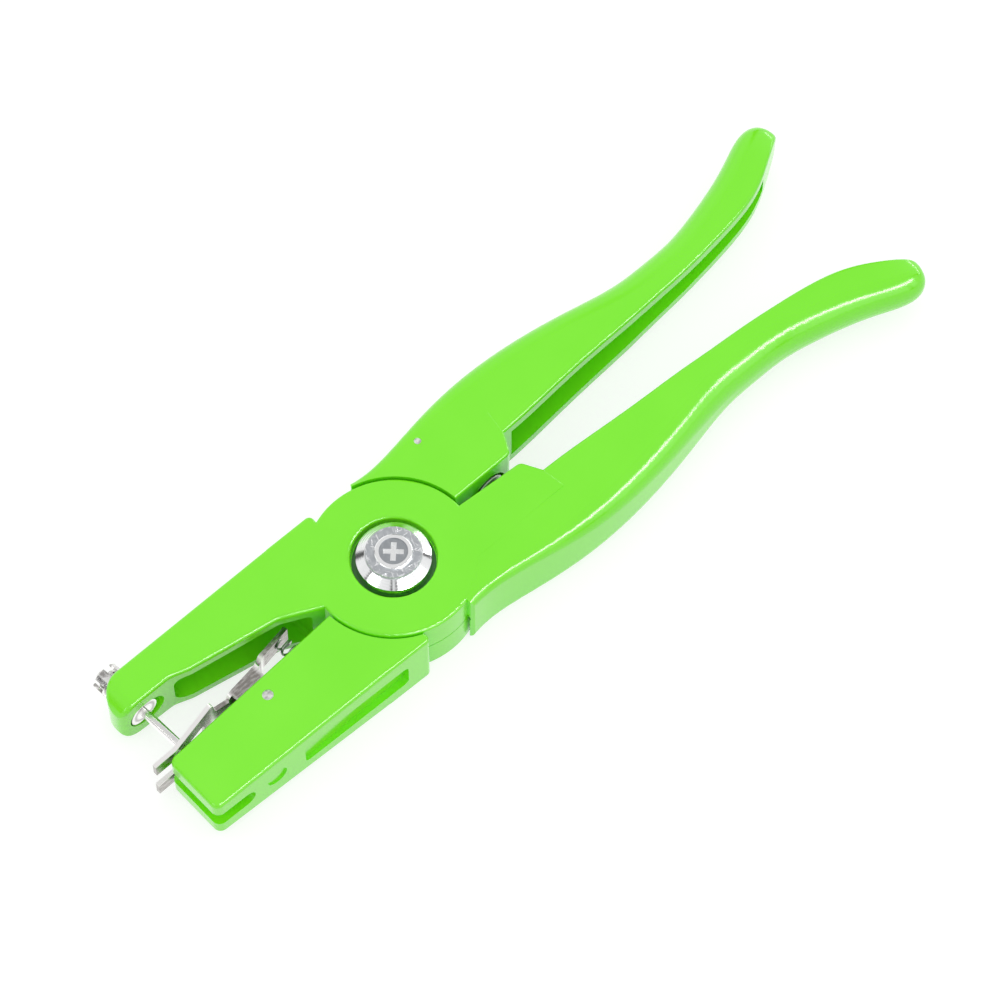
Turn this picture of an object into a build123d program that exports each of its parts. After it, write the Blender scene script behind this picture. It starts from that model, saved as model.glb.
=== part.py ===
from build123d import *
import os
from math import cos, hypot, radians, sin

# Ear tag applicator: crossing pliers that push the stud of an ear tag through an ear.
#
# The pin lever is one casting: the needle jaw at -Y, the upper half-lap disc and the handle at +Y.
# The clip lever is the other: the forked jaw at +Y, the lower half-lap disc and the handle at -Y.
# Origin: on the pivot axis, in the flat underside. +X runs to the jaws and +Z is up.
# The tool is drawn almost shut, as it lies on a table. Millimetres and degrees.

# Both levers
THICK = 20.0            # thickness at the pivot
LAP_GAP = 0.3           # air between the two half-lap discs
DISC_R = 22.0           # half-lap disc
DISC_CLEAR = 0.7        # air between a disc and the hollow wall round it
FLANGE = 3.4            # flange and web thickness of the hollow castings
CLOSE_DEG = 4.5         # further closing, until the bosses behind the pivot all but meet
STOP_GAP = 0.3          # air between the bosses when shut
DISC_EDGE_R = 0.8
BOSS_EDGE_R = 0.8

# Stations along the jaws, ahead of the pivot axis. They are chained from the clip's pin, so that the
# needle keeps its place between the clip's arms and in the tag slot.
CLIP_PIN_X = 48.0
CLIP_TAIL_X = CLIP_PIN_X - 17.0
CLIP_SPRING_X = CLIP_PIN_X - 14.4
CLIP_WEB_X = (CLIP_PIN_X - 5.0, CLIP_PIN_X + 7.0)
CLIP_BRIDGE_X = (CLIP_PIN_X + 11.5, CLIP_PIN_X + 15.5)
CAVITY_X = (CLIP_PIN_X - 10.0, CLIP_PIN_X + 13.5)
NEEDLE_X = CLIP_BRIDGE_X[1] + 7.8           # where the needle leaves its flange
NEEDLE_JAW_REACH = NEEDLE_X + 7.1
BOSS_X = NEEDLE_X - 8.8                     # the solid needle boss starts here
CHANNEL_X = (DISC_R + 3.0, BOSS_X - 0.5)    # the needle jaw's hollow behind that boss
FORK_FRONT = 8.4                            # the forked jaw's rear corner
FORK_REACH = NEEDLE_X + 6.2
TAG_SLOT_X = NEEDLE_X - 5.8                 # round end of the slot that the needle enters
PANEL_X = (FORK_FRONT + 7.6, FORK_REACH - 28.0)
DIMPLE_X = FORK_REACH - 19.0
CLIP_TIP_X = FORK_REACH + 3.5

# Handles, measured as distances from the X axis
HANDLE_FRONT = 5.5      # the handle's front end, behind the pivot axis
HANDLE_CORNER_R = 1.5   # outer corner of that end, seen from above
RELIEF_R = 1.1          # relief at the seam, where the pin lever's disc meets its handle
HANDLE_REACH = 159.5    # tip of the handles, behind the pivot axis
GRIP_NEAR = 7.3         # inner edge where the grip starts
GRIP_FAR = DISC_R + 5.3  # outer edge there, the widest of the palm swell
BOSS_FACE = 1.7         # boss face of the clip lever, below the X axis
BOSS_REAR = 41.5        # rear corner of both bosses
BOSS_SLOPE = 3.1        # run of the boss's rear slope, up to the handle's inner edge
BOSS_REAR_R = 2.0
BOSS_TOE_R = 1.5
BOSS_ROOT = 7.0         # how far the boss runs into the handle
BOSS_TOE = 0.3          # its toe, this far inside the handle's inner edge
BOSS_HEEL = 1.0         # run of its rear wall from the toe to the root
PICK = 0.5              # margin for picking edges by their place

# Return spring and its two blind holes
SPRING_X = 34.2         # distance of the spring behind the pivot axis
SPRING_R = 4.65         # outer radius
SPRING_WIRE_R = 0.6
SPRING_TURNS = 7
SPRING_HOLE_CLEAR = 0.55
SPRING_HOLE_DEPTH = 8.0
SEAT_GAP = 0.05         # air between a spring's end and its seat

# Needle jaw
NEEDLE_JAW_OUT = DISC_R + 1.3   # outer wall at the pivot end
NEEDLE_JAW_OUT_TIP = 24.2
NEEDLE_JAW_TIP_THICK = 17.2
BOSS_IN = 13.5          # inner face of the needle boss
CHANNEL_FRONT_R = 3.0
CHANNEL_REAR_R = 1.5
NOSE_ROLL = 6.0         # the nose's rounding, seen from the side
NOSE_CUT = 0.3          # how deep the nose's flat end cuts into that rounding
NOSE_CORNER = 7.2       # outer corner of the nose, seen from above
NOSE_CORNER_IN = 2.6    # inner corner
NOSE_TOE = 0.4          # the inner face's fall from the boss to the nose
NEEDLE_JAW_REAR = 7.5   # rear end of the jaw's root
REAR_CORNER_R = 1.5     # outer rear corner of both jaws
BOSS_IN_R = 6.0         # bends of the inner face beside the needle boss
THROAT_R = 5.0          # bend where the jaw's inner face turns away from the disc
JAW_EDGE_R = 1.2        # rims of both tapered jaws
ROOT_EDGE_R = 1.0       # rims of their flat roots: a clear step to the jaw's rim, not a sliver
# inner face of the jaw from the disc to the needle boss: (x, y, rounding)
NEEDLE_JAW_INNER = ((DISC_R - 1.0, -0.9, 0), (DISC_R, -1.4, 0), (DISC_R + 10.6, -6.85, THROAT_R),
                    (BOSS_X - 5.0, 1.8 - BOSS_IN, BOSS_IN_R), (BOSS_X, -BOSS_IN, BOSS_IN_R))

# Needle, its recess and its nut
NEEDLE_LEAN = 3.0       # lean of the needle towards the pivot
NEEDLE_R = 1.2
NEEDLE_LEN = 20.0       # flange face to tip
NEEDLE_POINT = 1.6
FLANGE_R = 4.2          # the needle's round flange
FLANGE_THICK = 1.6
RECESS_DEPTH = 2.2
RECESS_CLEAR = 0.4
RECESS_SIDE = 1.5       # extra length of the oval recess, towards the pivot
TAIL_R = 2.5            # threaded tail
TAIL_CLEAR = 0.1
NUT_R = 3.9
NUT_BASE = 1.4          # plain base of the nut
NUT_CROWN = 3.6         # height of the nut's lugs above the base
NUT_SLOT = 2.6
NUT_SLOTS = 4
NUT_HOLLOW_R = 2.9      # hollow of the crown
TAIL_OUT = 2.4          # the tail's end above the nut's base
NEEDLE_TIP_R = 0.15     # blunted point
SPOT_DEPTH = 0.4        # spot face under the nut
SPOT_CLEAR = 0.6
NUT_CLEAR = 0.05
NUT_CHAMFER = 0.4
NUT_TURN = 20.0         # turn of the slots about the nut's axis

# Forked jaw
FORK_OUT = DISC_R + 1.2
FORK_OUT_TIP = 20.9
FORK_IN = 0.8
FORK_IN_TIP = 2.85
FORK_TIP_THICK = 16.0
FORK_CORNER = 2.2
TAG_SLOT = 5.6          # width of the slot that takes the needle and the tag's boss
CAVITY_DEPTH = 13.5     # depth of the hollow for the clip's ears
CAVITY_WALL = 3.6       # height of the hollow's lower wall over the table
POCKET_R = 1.5          # corners of the hollow and of the panel
PANEL_Z = (5.5, 14.0)   # shallow panel in the outer wall
PANEL_DEPTH = 1.0
DIMPLE_R = 3.0
DIMPLE_DEPTH = 0.5

# Jaw clip, its pin and its spring
CLIP_THICK = 1.2
CLIP_PIN_Y = 6.6
CLIP_PIN_R = 1.45
CLIP_PIN_CLEAR = 0.05
CLIP_PIN_SUNK = 0.3
CLIP_BEND_R = 3.0
CLIP_CORNER_R = 1.5
CLIP_NECK_R = 1.0
CLIP_SPARE = 2.0        # the side outline runs this far past the sheet's two ends
# root of the ears, up to the height of the pin
EAR_ROOT = ((CLIP_PIN_X - 3.6, -2.0), (CLIP_PIN_X + 5.9, -0.8), (CLIP_PIN_X + 4.0, CLIP_PIN_Y),
            (CLIP_PIN_X - 4.0, CLIP_PIN_Y))
# the sheet's middle line seen from above: tail, web with the ears, neck, bridge and arms
CLIP_LINE = ((CLIP_TAIL_X, -6.4), (CLIP_PIN_X - 6.8, -4.7), (CLIP_PIN_X - 4.0, -2.3),
             (CLIP_PIN_X + 6.4, -0.9), (CLIP_PIN_X + 11.9, -1.5), (CLIP_TIP_X - 6.6, 1.7), (CLIP_TIP_X, 1.75))
ARM_HIGH = 4.6          # height of one arm
ARM_OUT = 15.9          # height over both arms
WEB_HIGH = 12.0         # height over the clip's ears
NECK_HIGH = 7.0
TAIL_HIGH = 6.0
EAR_R = 4.0
CLIP_SPRING_R = 2.2
CLIP_SPRING_WIRE_R = 0.35
CLIP_SPRING_TURNS = 6
CLIP_SPRING_HOLE_CLEAR = 0.5
CLIP_SPRING_SEAT_Y = 7.0

# Pivot
SHANK_R = 6.0
RUN_CLEAR = 0.05        # radial clearance of the levers on the pivot
HEAD_R = 9.8
HEAD_THICK = 3.0
HEAD_CLEAR = 0.1
CAP_R = 9.6
CAP_HOLE_R = 11.0       # round hole in the upper disc, round the cap
CAP_FLOOR = 16.5        # height of that hole's floor
CAP_PLAY = 0.3
CAP_WALL_TOP = 20.2     # where the cap's bevel starts
CAP_TOP = 22.0
CAP_TOP_R = 7.4
WASHER_R = 7.15
WASHER_THICK = 0.7
SCREW_R = 3.0
SCREW_CLEAR = 0.05
SCREW_HEAD_R = 4.9
SCREW_HEAD = 0.6
SCREW_LENGTH = 14.0
SCREW_RIM = 1.2         # width of the raised rim
SCREW_DISH = 0.2        # depth of the head's middle below the rim
SCREW_HEAD_EDGE = 0.4
SCREW_HOLE_DEPTH = 9.0
CROSS_WIDE = 1.4
CROSS_LONG = 5.2
CROSS_DEPTH = 1.3
CROSS_TURN = 45.0

# Stop pin in the clip lever's handle root
STOP_PIN_X = 26.5
STOP_PIN_Y = GRIP_FAR - 7.1
STOP_PIN_R = 0.95
STOP_PIN_LENGTH = 12.0
STOP_PIN_SUNK = 0.25

MID = THICK / 2
LOWER_TOP = MID - LAP_GAP / 2
UPPER_BOTTOM = MID + LAP_GAP / 2
BASE = (Align.CENTER, Align.CENTER, Align.MIN)
HUNG = (Align.CENTER, Align.CENTER, Align.MAX)


def turned(x, y, angle):
    """A point in the plane, turned about the pivot axis."""
    a = radians(angle)
    return (x * cos(a) - y * sin(a), x * sin(a) + y * cos(a))


def between(x, x0, y0, x1, y1):
    """Height at x of the straight line through two points."""
    return y0 + (y1 - y0) * (x - x0) / (x1 - x0)


def outline(corners, plane=Plane.XY):
    """A closed outline on a plane through (x, y, rounding) corners."""
    with BuildSketch(plane) as shape:
        with BuildLine():
            Polyline([(x, y) for x, y, rounding in corners], close=True)
        make_face()
        for x, y, rounding in corners:
            if rounding:
                fillet(shape.vertices().sort_by_distance((x, y, 0))[0], rounding)
    return shape.sketch


def wall_plane(x):
    """Plane across a handle, with its own x along +Y."""
    return Plane(origin=(x, 0, MID), x_dir=(0, 1, 0), z_dir=(1, 0, 0))


# Handles. Each station is a share of the way from the pivot end to the tip, with the near and far
# edge, the thickness and the far edge's rounding.
ROOT_THICK = THICK - 0.06
HANDLE_SHAPE = [
    (0.000, GRIP_NEAR, GRIP_FAR - 4.0, ROOT_THICK, 2.0),
    (0.094, GRIP_NEAR, GRIP_FAR - 3.7, ROOT_THICK, 2.5),
    (0.185, GRIP_NEAR, GRIP_FAR - 1.3, ROOT_THICK, 3.4),
    (0.270, GRIP_NEAR, GRIP_FAR, THICK - 0.3, 4.5),
    (0.386, GRIP_NEAR + 1.1, GRIP_FAR - 0.7, THICK - 1.0, 5.3),
    (0.497, GRIP_NEAR + 2.0, GRIP_FAR - 3.2, THICK - 2.2, 6.0),
    (0.614, GRIP_NEAR + 2.9, GRIP_FAR - 5.7, THICK - 4.4, 6.4),
    (0.730, GRIP_NEAR + 4.2, GRIP_FAR - 5.1, THICK - 5.8, 6.2),
    (0.841, GRIP_NEAR + 6.6, GRIP_FAR - 1.0, THICK - 6.8, 5.9),
    (0.925, GRIP_NEAR + 11.2, GRIP_FAR + 3.9, THICK - 7.6, 5.5),
    (0.970, GRIP_NEAR + 15.3, GRIP_FAR + 5.6, THICK - 9.0, 4.9),
    (0.991, GRIP_NEAR + 17.3, GRIP_FAR + 4.4, THICK - 11.4, 3.8),
    (1.000, GRIP_NEAR + 18.3, GRIP_FAR + 2.2, THICK - 14.0, 2.6),
]
HOLLOW_SHAPE = HANDLE_SHAPE[3:10]
HANDLE_NEAR_R = 0.9
HOLLOW_R = 1.2


def handle_x(share):
    return -HANDLE_FRONT - share * (HANDLE_REACH - HANDLE_FRONT)


def handle(side):
    """Sections of a handle on the +Y side (side = 1) or on the -Y side (side = -1)."""
    sections = []
    for share, near, far, thick, far_r in HANDLE_SHAPE:
        with BuildSketch(wall_plane(handle_x(share))) as cut:
            with Locations((side * (near + far) / 2, 0)):
                Rectangle(far - near, thick)
            across = cut.vertices().sort_by(Axis.X)
            fillet(across[-2:] if side > 0 else across[:2], far_r)
            across = cut.vertices().sort_by(Axis.X)
            fillet(across[:2] if side > 0 else across[-2:], HANDLE_NEAR_R)
        sections.append(cut.sketch.face())
    return sections


def hollow(side):
    """Sections of the grip's hollow, one wall inside the handle. It runs out before the tip."""
    sections = []
    for share, near, far, thick, far_r in HOLLOW_SHAPE:
        depth = far - FLANGE - near if share < HOLLOW_SHAPE[-1][0] else FLANGE
        with BuildSketch(wall_plane(handle_x(share))) as cut:
            with Locations((side * (near + (depth - HANDLE_NEAR_R) / 2), 0)):
                Rectangle(depth + HANDLE_NEAR_R, thick - 2 * FLANGE)
            across = cut.vertices().sort_by(Axis.X)
            fillet(across[-2:] if side > 0 else across[:2], HOLLOW_R)
        sections.append(cut.sketch.face())
    return sections


def front_corner(side):
    """What is cut away from a handle's front end to round its outer corner, seen from above."""
    y = HANDLE_SHAPE[0][2] - HANDLE_CORNER_R
    with BuildSketch() as cut:
        with Locations((-HANDLE_FRONT - HANDLE_CORNER_R, side * y)):
            Rectangle(2 * HANDLE_CORNER_R, 2 * HANDLE_CORNER_R,
                      align=(Align.MIN, Align.MIN if side > 0 else Align.MAX))
            Circle(HANDLE_CORNER_R, mode=Mode.SUBTRACT)
    return cut.sketch


def boss(side, face, tilt):
    """Outline of the boss behind the pivot, with its face at a distance from the X axis and at a tilt."""
    front = turned(-DISC_R / 2, face, tilt)
    rear = turned(-BOSS_REAR, face, tilt)
    toe = -BOSS_REAR - BOSS_SLOPE
    corners = [(*front, 0), (*rear, BOSS_REAR_R), (toe, GRIP_NEAR + BOSS_TOE, BOSS_TOE_R),
               (toe - BOSS_HEEL, GRIP_NEAR + BOSS_ROOT, 0), (-DISC_R / 2, GRIP_NEAR + BOSS_ROOT, 0)]
    return outline([(x, side * y, rounding) for x, y, rounding in corners])


# The two bosses, with rounded rims except where they run into the handles
with BuildPart() as pin_boss:
    extrude(boss(1, -BOSS_FACE + STOP_GAP, -CLOSE_DEG), amount=THICK)
    fillet([e for e in pin_boss.edges().filter_by(Axis.Z, reverse=True)
            if e.center().Y < GRIP_NEAR - PICK and e.center().X < -DISC_R / 2 - PICK], BOSS_EDGE_R)

with BuildPart() as clip_boss:
    extrude(boss(-1, BOSS_FACE, 0), amount=THICK)
    fillet([e for e in clip_boss.edges().filter_by(Axis.Z, reverse=True)
            if e.center().Y > PICK - GRIP_NEAR and e.center().X < -DISC_R / 2 - PICK], BOSS_EDGE_R)

# Return spring's holes: the clip lever's face is straight, the pin lever's leans until shut
pin_face = turned(-SPRING_X, -BOSS_FACE + STOP_GAP, -CLOSE_DEG)
pin_way = turned(0, 1, -CLOSE_DEG)
pin_spring_plane = Plane(origin=(*pin_face, MID), z_dir=(*pin_way, 0))
clip_lever_spring_plane = Plane(origin=(-SPRING_X, -BOSS_FACE, MID), z_dir=(0, -1, 0))
# Each seat is a plane on a hole's floor that faces the spring.
pin_floor = pin_spring_plane.offset(SPRING_HOLE_DEPTH)
pin_lever_spring_seat = Plane(origin=pin_floor.origin, z_dir=pin_floor.z_dir * -1)
clip_lever_spring_seat = Plane(origin=(-SPRING_X, -BOSS_FACE - SPRING_HOLE_DEPTH, MID), z_dir=(0, 1, 0))

# Clip spring's seats, on the clip's tail and in the forked jaw
(tail_x, tail_y), (tail_end_x, tail_end_y) = CLIP_LINE[:2]
tail_run = hypot(tail_end_x - tail_x, tail_end_y - tail_y)
tail_normal = Vector((tail_y - tail_end_y) / tail_run, (tail_end_x - tail_x) / tail_run, 0)
tail_mid = Vector(CLIP_SPRING_X, between(CLIP_SPRING_X, tail_x, tail_y, tail_end_x, tail_end_y), MID)
clip_tail_seat = Plane(origin=tail_mid + tail_normal * (CLIP_THICK / 2), z_dir=tail_normal)
clip_jaw_seat = Plane(origin=(CLIP_SPRING_X, CLIP_SPRING_SEAT_Y, MID), z_dir=(0, -1, 0))

# Needle, square to its own leaning axis
needle_dir = Vector(-sin(radians(NEEDLE_LEAN)), cos(radians(NEEDLE_LEAN)), 0)
needle_foot = Vector(NEEDLE_X, -BOSS_IN - RECESS_DEPTH + FLANGE_THICK, MID)
recess_floor = needle_foot - needle_dir * FLANGE_THICK
jaw_wall_y = -between(NEEDLE_X, FORK_FRONT, NEEDLE_JAW_OUT, NEEDLE_JAW_REACH, NEEDLE_JAW_OUT_TIP)
boss_thick = (recess_floor.Y - jaw_wall_y - SPOT_DEPTH) / needle_dir.Y
nut_seat = recess_floor - needle_dir * boss_thick
needle_plane = Plane(origin=recess_floor, x_dir=(needle_dir.Y, -needle_dir.X, 0), z_dir=needle_dir)
nut_plane = Plane(origin=nut_seat, x_dir=(needle_dir.Y, -needle_dir.X, 0), z_dir=needle_dir * -1)

# Needle jaw, drawn at -Y. The tapered jaw is the plan outline cut by the side outline, and a flat root
# carries it beside the disc.
needle_root_y = between(DISC_R, FORK_FRONT, NEEDLE_JAW_OUT, NEEDLE_JAW_REACH, NEEDLE_JAW_OUT_TIP)
with BuildPart() as needle_jaw:
    extrude(outline([
        *NEEDLE_JAW_INNER[1:],
        (NEEDLE_JAW_REACH, -BOSS_IN - NOSE_TOE, NOSE_CORNER_IN),
        (NEEDLE_JAW_REACH, -NEEDLE_JAW_OUT_TIP, NOSE_CORNER), (DISC_R, -needle_root_y, 0)]), amount=THICK)
    drop = (THICK - NEEDLE_JAW_TIP_THICK) / 2
    extrude(outline([
        (DISC_R, 0, 0), (NEEDLE_JAW_REACH + NOSE_CUT, drop, NOSE_ROLL),
        (NEEDLE_JAW_REACH + NOSE_CUT, THICK - drop, NOSE_ROLL), (DISC_R, THICK, 0)],
        Plane.XZ.offset(-DISC_R)), amount=3 * DISC_R, mode=Mode.INTERSECT)
    fillet([e for e in needle_jaw.edges().filter_by(Axis.Z, reverse=True) if e.center().X > DISC_R + PICK],
           JAW_EDGE_R)

with BuildPart() as needle_root:
    extrude(outline([
        (NEEDLE_JAW_REAR, -DISC_R / 2, 0), (NEEDLE_JAW_REAR, -NEEDLE_JAW_OUT, REAR_CORNER_R),
        (DISC_R, -needle_root_y, 0), NEEDLE_JAW_INNER[1], NEEDLE_JAW_INNER[0]]), amount=THICK)
    fillet([e for e in needle_root.edges().filter_by(Axis.Z, reverse=True) if e.center().X < DISC_R - PICK
            and e.center().Y < 2 * REAR_CORNER_R - NEEDLE_JAW_OUT], ROOT_EDGE_R)

# Forked jaw, drawn at +Y in the same way
fork_root_y = between(DISC_R, FORK_FRONT, FORK_OUT, FORK_REACH, FORK_OUT_TIP)
with BuildPart() as fork_jaw:
    extrude(outline([
        (DISC_R, FORK_IN, 0), (DISC_R, fork_root_y, 0), (FORK_REACH, FORK_OUT_TIP, FORK_CORNER),
        (FORK_REACH, FORK_IN_TIP, FORK_CORNER)]), amount=THICK)
    drop = (THICK - FORK_TIP_THICK) / 2
    extrude(outline([
        (DISC_R, 0, 0), (FORK_REACH, drop, 0), (FORK_REACH, THICK - drop, 0), (DISC_R, THICK, 0)],
        Plane.XZ.offset(-2 * FORK_OUT)), amount=3 * FORK_OUT, mode=Mode.INTERSECT)
    fillet([e for e in fork_jaw.edges().filter_by(Axis.Z, reverse=True) if e.center().X > DISC_R + PICK],
           JAW_EDGE_R)

with BuildPart() as fork_root:
    extrude(outline([
        (FORK_FRONT, FORK_IN, 0), (FORK_FRONT, FORK_OUT, REAR_CORNER_R), (DISC_R, fork_root_y, 0),
        (DISC_R, FORK_IN, 0)]), amount=THICK)
    fillet([e for e in fork_root.edges().filter_by(Axis.Z, reverse=True) if e.center().X < DISC_R - PICK
            and (e.center().Y > FORK_OUT - 2 * REAR_CORNER_R or e.center().Y < FORK_IN + PICK)], ROOT_EDGE_R)

# Pin lever
with BuildPart() as pin_lever:
    with Locations((0, 0, UPPER_BOTTOM)):
        Cylinder(DISC_R, THICK - UPPER_BOTTOM, align=BASE)
    fillet(pin_lever.edges().group_by(Axis.Z)[-1], DISC_EDGE_R)
    loft(handle(1))
    extrude(front_corner(1), amount=THICK, mode=Mode.SUBTRACT)
    with Locations((-HANDLE_FRONT, (DISC_R ** 2 - HANDLE_FRONT ** 2) ** 0.5, MID)):
        Sphere(RELIEF_R, mode=Mode.SUBTRACT)
    add([pin_boss.part, needle_jaw.part, needle_root.part])
    with BuildSketch():
        Circle(DISC_R + DISC_CLEAR)
    extrude(amount=UPPER_BOTTOM, mode=Mode.SUBTRACT)
    loft(hollow(1), mode=Mode.SUBTRACT)
    # bore, and the round hole for the cap with its rounded rim
    with BuildSketch():
        Circle(SHANK_R + RUN_CLEAR)
    extrude(amount=THICK, mode=Mode.SUBTRACT)
    revolve(outline([
        (0, CAP_FLOOR, 0), (CAP_HOLE_R, CAP_FLOOR, 0), (CAP_HOLE_R, THICK, DISC_EDGE_R),
        (CAP_HOLE_R + 2 * DISC_EDGE_R, THICK, 0), (CAP_HOLE_R + 2 * DISC_EDGE_R, CAP_TOP, 0),
        (0, CAP_TOP, 0)], Plane.XZ), axis=Axis.Z, mode=Mode.SUBTRACT)
    # channel of the needle jaw, open towards the other jaw
    tip_drop = (THICK - NEEDLE_JAW_TIP_THICK) / 2
    front_wall = FLANGE + between(CHANNEL_X[1], DISC_R, 0, NEEDLE_JAW_REACH, tip_drop)
    extrude(outline([
        (CHANNEL_X[0], FLANGE, CHANNEL_REAR_R), (CHANNEL_X[1], front_wall, CHANNEL_FRONT_R),
        (CHANNEL_X[1], THICK - front_wall, CHANNEL_FRONT_R), (CHANNEL_X[0], THICK - FLANGE, CHANNEL_REAR_R)],
        Plane.XZ.offset(NEEDLE_JAW_OUT - FLANGE)), amount=-NEEDLE_JAW_OUT, mode=Mode.SUBTRACT)
    # blind hole of the return spring
    with BuildSketch(pin_spring_plane):
        Circle(SPRING_R + SPRING_HOLE_CLEAR)
    extrude(amount=SPRING_HOLE_DEPTH, mode=Mode.SUBTRACT)
    # oval recess for the needle's flange, hole for its tail and spot face for the nut
    with BuildSketch(needle_plane):
        with Locations((-RECESS_SIDE / 2, 0)):
            SlotOverall(2 * (FLANGE_R + RECESS_CLEAR) + RECESS_SIDE, 2 * (FLANGE_R + RECESS_CLEAR))
    extrude(amount=2 * RECESS_DEPTH, mode=Mode.SUBTRACT)
    with BuildSketch(needle_plane):
        Circle(TAIL_R + TAIL_CLEAR)
    extrude(amount=-2 * boss_thick, mode=Mode.SUBTRACT)
    with BuildSketch(nut_plane):
        Circle(NUT_R + SPOT_CLEAR)
    extrude(amount=2 * NUT_CROWN, mode=Mode.SUBTRACT)
pin_lever.part.label = "pin_lever"

# Clip lever
with BuildPart() as clip_lever:
    Cylinder(DISC_R, LOWER_TOP, align=BASE)
    fillet(clip_lever.edges().group_by(Axis.Z)[0], DISC_EDGE_R)
    loft(handle(-1))
    extrude(front_corner(-1), amount=THICK, mode=Mode.SUBTRACT)
    add([clip_boss.part, fork_jaw.part, fork_root.part])
    with BuildSketch(Plane.XY.offset(LOWER_TOP)):
        Circle(DISC_R + DISC_CLEAR)
    extrude(amount=THICK - LOWER_TOP, mode=Mode.SUBTRACT)
    loft(hollow(-1), mode=Mode.SUBTRACT)
    # bore and the counterbore for the pivot's head
    with BuildSketch():
        Circle(SHANK_R + RUN_CLEAR)
    extrude(amount=THICK, mode=Mode.SUBTRACT)
    with BuildSketch():
        Circle(HEAD_R + HEAD_CLEAR)
    extrude(amount=HEAD_THICK, mode=Mode.SUBTRACT)
    # blind holes of the return spring and the stop pin
    with BuildSketch(clip_lever_spring_plane):
        Circle(SPRING_R + SPRING_HOLE_CLEAR)
    extrude(amount=SPRING_HOLE_DEPTH, mode=Mode.SUBTRACT)
    with BuildSketch(Plane.XY.offset(THICK)):
        with Locations((-STOP_PIN_X, -STOP_PIN_Y)):
            Circle(STOP_PIN_R)
    extrude(amount=-STOP_PIN_LENGTH - STOP_PIN_SUNK, mode=Mode.SUBTRACT)
    # hollow for the clip's ears
    extrude(outline([
        (CAVITY_X[0], CAVITY_WALL, POCKET_R), (CAVITY_X[1], CAVITY_WALL, POCKET_R),
        (CAVITY_X[1], THICK - CAVITY_WALL, POCKET_R), (CAVITY_X[0], THICK - CAVITY_WALL, POCKET_R)],
        Plane.XZ.offset(-CAVITY_DEPTH)), amount=2 * CAVITY_DEPTH, mode=Mode.SUBTRACT)
    # slot for the needle and the tag, through the jaw and open at the nose
    with BuildSketch(Plane.XZ.offset(-2 * FORK_OUT)):
        with Locations((TAG_SLOT_X + TAG_SLOT / 2, MID)):
            Circle(TAG_SLOT / 2)
            Rectangle(FORK_REACH, TAG_SLOT, align=(Align.MIN, Align.CENTER))
    extrude(amount=3 * FORK_OUT, mode=Mode.SUBTRACT)
    # blind hole of the clip's spring and holes for the clip's pin
    with BuildSketch(Plane.XZ.offset(-CLIP_SPRING_SEAT_Y)):
        with Locations((CLIP_SPRING_X, MID)):
            Circle(CLIP_SPRING_R + CLIP_SPRING_HOLE_CLEAR)
    extrude(amount=2 * CLIP_SPRING_SEAT_Y, mode=Mode.SUBTRACT)
    with BuildSketch():
        with Locations((CLIP_PIN_X, CLIP_PIN_Y)):
            Circle(CLIP_PIN_R)
    extrude(amount=THICK, mode=Mode.SUBTRACT)
    # panel and dimple in the outer wall
    panel_wall = between(PANEL_X[1], FORK_FRONT, FORK_OUT, FORK_REACH, FORK_OUT_TIP) - PANEL_DEPTH
    extrude(outline([
        (PANEL_X[0], PANEL_Z[0], POCKET_R), (PANEL_X[1], PANEL_Z[0], POCKET_R),
        (PANEL_X[1], PANEL_Z[1], POCKET_R), (PANEL_X[0], PANEL_Z[1], POCKET_R)],
        Plane.XZ.offset(-panel_wall)), amount=-2 * FORK_OUT, mode=Mode.SUBTRACT)
    dimple_wall = between(DIMPLE_X, FORK_FRONT, FORK_OUT, FORK_REACH, FORK_OUT_TIP) - DIMPLE_DEPTH
    with BuildSketch(Plane.XZ.offset(-dimple_wall)):
        with Locations((DIMPLE_X, MID)):
            Circle(DIMPLE_R)
    extrude(amount=-2 * FORK_OUT, mode=Mode.SUBTRACT)
clip_lever.part.label = "clip_lever"

# Pivot: a barrel with a flush head below, and the cap, washer and screw on top of it
with BuildPart() as pivot_barrel:
    Cylinder(HEAD_R, HEAD_THICK, align=BASE)
    Cylinder(SHANK_R, CAP_FLOOR + CAP_PLAY, align=BASE)
    with Locations((0, 0, CAP_FLOOR + CAP_PLAY)):
        Cylinder(SCREW_R + SCREW_CLEAR, SCREW_HOLE_DEPTH, align=HUNG, mode=Mode.SUBTRACT)
pivot_barrel.part.label = "pivot_barrel"

with BuildPart() as pivot_cap:
    with BuildSketch(Plane.XZ):
        with BuildLine():
            Polyline((SCREW_R + SCREW_CLEAR, CAP_FLOOR + CAP_PLAY), (CAP_R, CAP_FLOOR + CAP_PLAY),
                     (CAP_R, CAP_WALL_TOP), (CAP_TOP_R, CAP_TOP),
                     (SCREW_R + SCREW_CLEAR, CAP_TOP), close=True)
        make_face()
    revolve(axis=Axis.Z)
pivot_cap.part.label = "pivot_cap"

with BuildPart() as pivot_washer:
    with BuildSketch(Plane.XY.offset(CAP_TOP)):
        Circle(WASHER_R)
        Circle(SCREW_R + SCREW_CLEAR, mode=Mode.SUBTRACT)
    extrude(amount=WASHER_THICK)
pivot_washer.part.label = "pivot_washer"

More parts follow.
